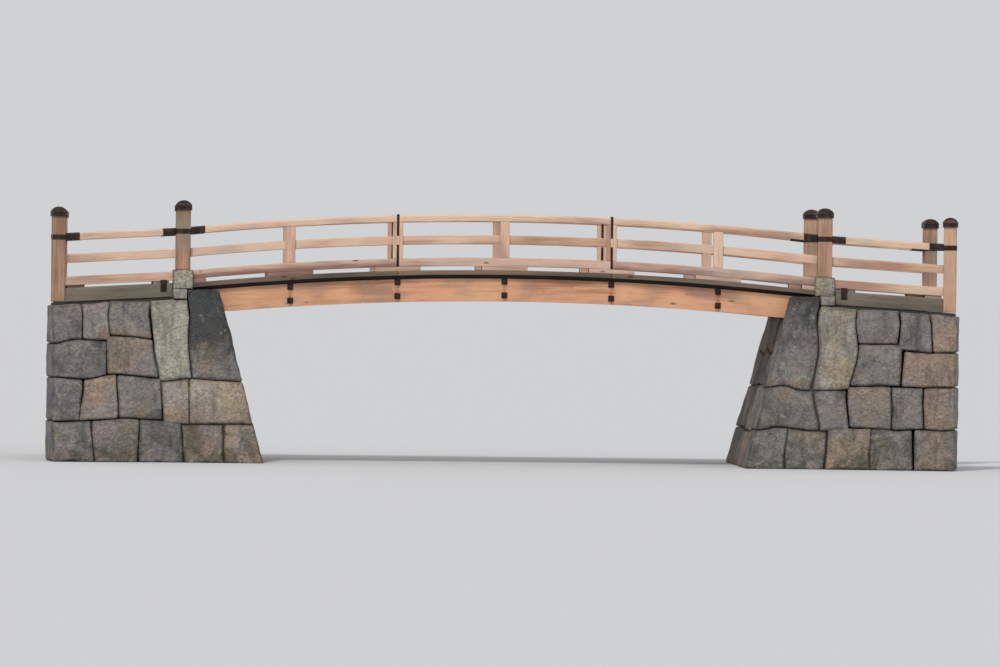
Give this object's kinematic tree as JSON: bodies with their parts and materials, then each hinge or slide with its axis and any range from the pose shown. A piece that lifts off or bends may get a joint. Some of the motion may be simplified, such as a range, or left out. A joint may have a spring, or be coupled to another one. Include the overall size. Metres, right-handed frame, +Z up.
{
  "type": "timber moon bridge",
  "caption": "Low arched timber footbridge on battered stone abutments, with three-rail balustrades that follow the arch and splay outwards at both ends.",
  "frame": {"origin": "under the middle of the span, level with the foot of the abutments", "axes": "+X along the bridge, +Y across it towards the back balustrade, +Z up"},
  "size_m": [11.2058, 3.5008, 3.1907],
  "materials": {
    "masonry": "rough weathered stone",
    "pale_stone": "dressed pale granite",
    "girder_timber": "orange-brown planed timber with knots",
    "rail_timber": "sun-bleached reddish timber",
    "deck_timber": "grey weathered timber",
    "dark_metal": "dark brown patina"
  },
  "bodies": {
    "root": {"left_abutment": "masonry", "right_abutment": "masonry", "left_wing_walls": "masonry", "right_wing_walls": "masonry", "left_threshold_stone": "pale_stone", "right_threshold_stone": "pale_stone", "post_plinths": "pale_stone", "front_girder": "girder_timber", "middle_girder": "girder_timber", "back_girder": "girder_timber", "cross_ties": "girder_timber", "deck_bearers": "deck_timber", "deck": "deck_timber", "front_slot_blocks": "rail_timber", "back_slot_blocks": "rail_timber", "front_bottom_rail": "rail_timber", "back_bottom_rail": "rail_timber", "front_middle_rail": "rail_timber", "back_middle_rail": "rail_timber", "front_top_rail": "rail_timber", "back_top_rail": "rail_timber", "front_posts": "rail_timber", "back_posts": "rail_timber", "front_iron_uprights": "dark_metal", "back_iron_uprights": "dark_metal", "main_posts": "rail_timber", "main_post_bands": "dark_metal", "main_post_caps": "dark_metal", "main_rail_sleeves": "dark_metal", "wing_kerbs": "deck_timber", "wing_kerb_blocks": "deck_timber", "wing_bottom_rails": "rail_timber", "wing_middle_rails": "rail_timber", "wing_top_rails": "rail_timber", "wing_rail_sleeves": "dark_metal", "wing_end_posts": "rail_timber", "end_post_bands": "dark_metal", "end_post_caps": "dark_metal"}
  },
  "joints": []
}
